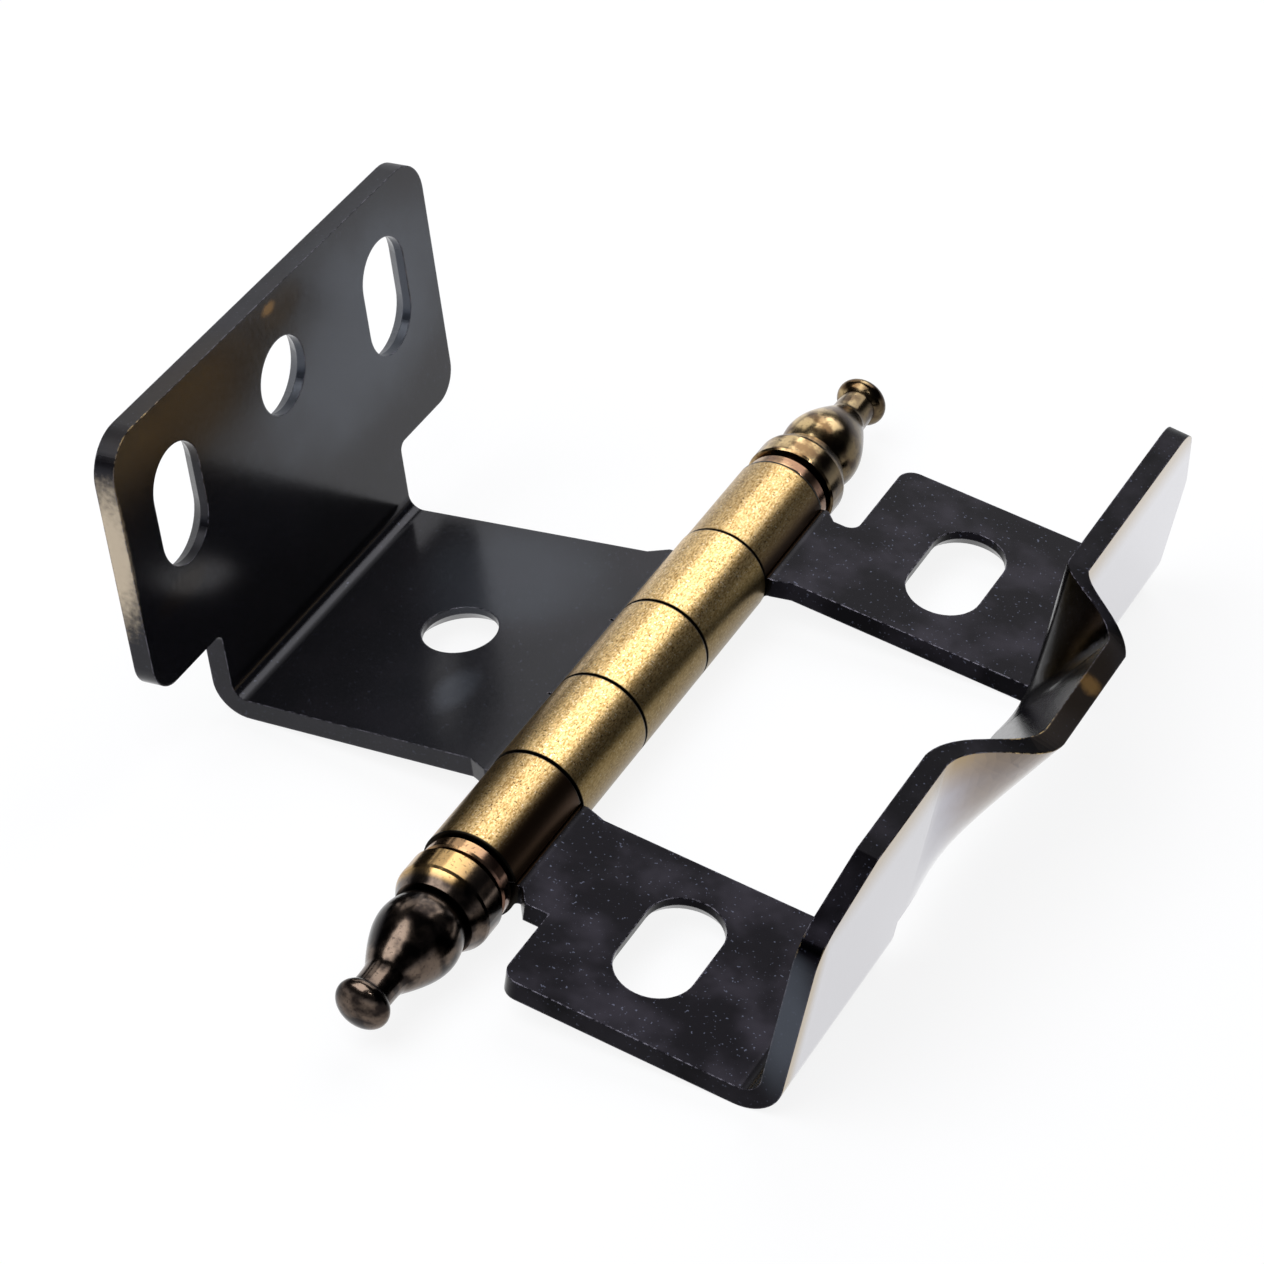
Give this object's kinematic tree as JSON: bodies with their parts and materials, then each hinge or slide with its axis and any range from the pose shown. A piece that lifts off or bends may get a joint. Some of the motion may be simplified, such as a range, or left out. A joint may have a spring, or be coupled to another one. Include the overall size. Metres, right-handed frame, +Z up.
{
  "type": "wraparound cabinet hinge",
  "caption": "Wraparound cabinet hinge of bent sheet with a rolled barrel, slotted leaves and turned finials, in antique brass over dark bronze.",
  "frame": {"origin": "middle of the hinge pin's axis; the surface it rests on is 3.2 mm below", "axes": "+Y along the pin from the near finial to the far one, +X towards the door leaf, +Z up as it lies at rest"},
  "size_m": [0.0571, 0.068, 0.0241],
  "materials": {
    "bronzed_leaf": "antique bronzed brass plate, near black, rubbed to brass on the barrel",
    "pin_steel": "drawn",
    "rubbed_brass": "antique brass, burnished on the high spots"
  },
  "bodies": {
    "frame_side": {"frame_leaf": "bronzed_leaf"},
    "door_side": {"door_leaf": "bronzed_leaf", "hinge_pin": "pin_steel", "finial_near": "rubbed_brass", "finial_far": "rubbed_brass"}
  },
  "joints": [
    {"name": "door_swing", "type": "hinge", "parent": "frame_side", "child": "door_side", "pos_m": [0, 0, 0], "axis": [0, 1, 0], "range_deg": [-14.7, 165.2]}
  ]
}
